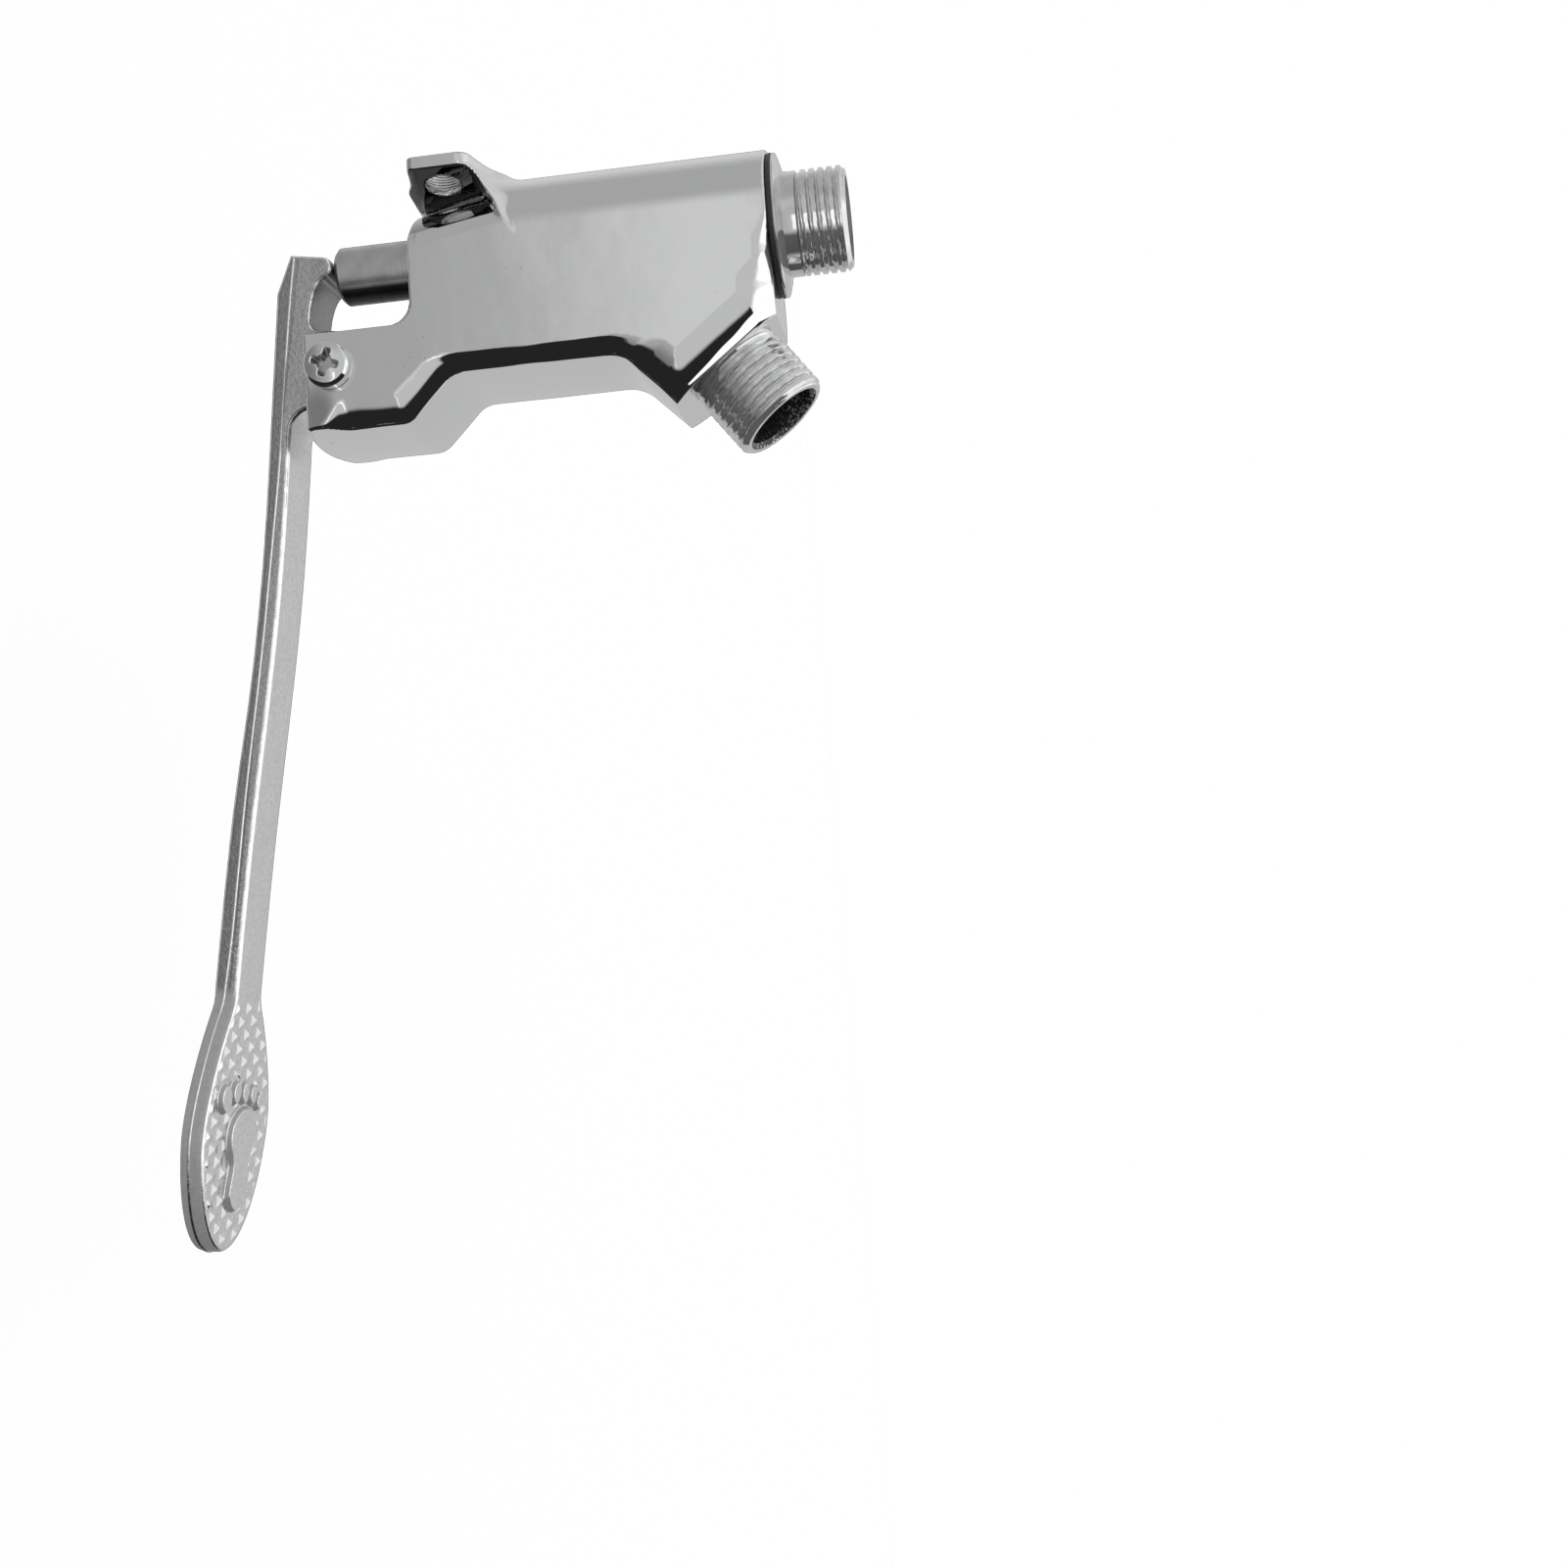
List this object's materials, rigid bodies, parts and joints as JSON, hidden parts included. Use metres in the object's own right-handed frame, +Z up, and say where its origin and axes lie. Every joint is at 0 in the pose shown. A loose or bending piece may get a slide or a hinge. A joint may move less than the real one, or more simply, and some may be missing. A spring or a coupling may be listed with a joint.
{
  "type": "foot pedal tap valve",
  "caption": "Wall-mounted foot valve: a pedal lever turns in the fork of a chromed casting and lifts a push rod, which opens the water way from the top inlet to the slanted outlet.",
  "frame": {"origin": "on the wall, midway between the two lug holes", "axes": "+Z up, along the valve axis towards the inlet; +Y into the wall; the pedal reaches out along -Y"},
  "size_m": [0.0413, 0.2162, 0.1485],
  "materials": {
    "polished_chrome": "polished chrome on a brass casting",
    "plated_lever": "chrome over a cast surface, smooth faces and grainy edges",
    "plated_screw": "bright plated steel",
    "machined_steel": "turned, dull and a little pitted",
    "spring_steel": "bright drawn steel",
    "turned_brass": "turned brass",
    "black_rubber": "matt black rubber"
  },
  "bodies": {
    "valve": {"valve_body": "polished_chrome", "inlet_nipple": "polished_chrome", "inlet_gasket": "black_rubber", "seat_ring": "turned_brass", "seat_oring": "black_rubber", "return_spring": "spring_steel", "spring_retainer": "turned_brass", "inlet_strainer": "spring_steel", "strainer_circlip": "spring_steel", "guide_bush": "turned_brass", "bush_oring": "black_rubber", "wiper_ring": "black_rubber", "bush_circlip": "spring_steel", "pivot_screw": "plated_screw", "pivot_washer": "spring_steel", "pivot_nut": "plated_screw"},
    "rod": {"push_rod": "machined_steel", "rod_oring_lower": "black_rubber", "rod_oring_upper": "black_rubber", "washer_plate": "turned_brass", "seat_washer": "black_rubber", "disc_holder": "turned_brass", "spindle_nut": "turned_brass"},
    "pedal": {"pedal_lever": "plated_lever", "pivot_bush": "turned_brass"}
  },
  "joints": [
    {"name": "pedal_hinge", "type": "hinge", "parent": "valve", "child": "pedal", "pos_m": [0, -0.0394, -0.0251], "axis": [1, 0, 0], "range_deg": [0, 13.5]},
    {"name": "rod_slide", "type": "slide", "parent": "valve", "child": "rod", "axis": [0, 0, 1], "range_m": [0, 0.0058], "stiffness_N_per_m": 2000, "springref_m": -0.008, "deforming": ["return_spring"]}
  ],
  "couplings": [
    {"joint": "rod_slide", "follows": "pedal_hinge", "m_per_rad": 0.0244}
  ]
}
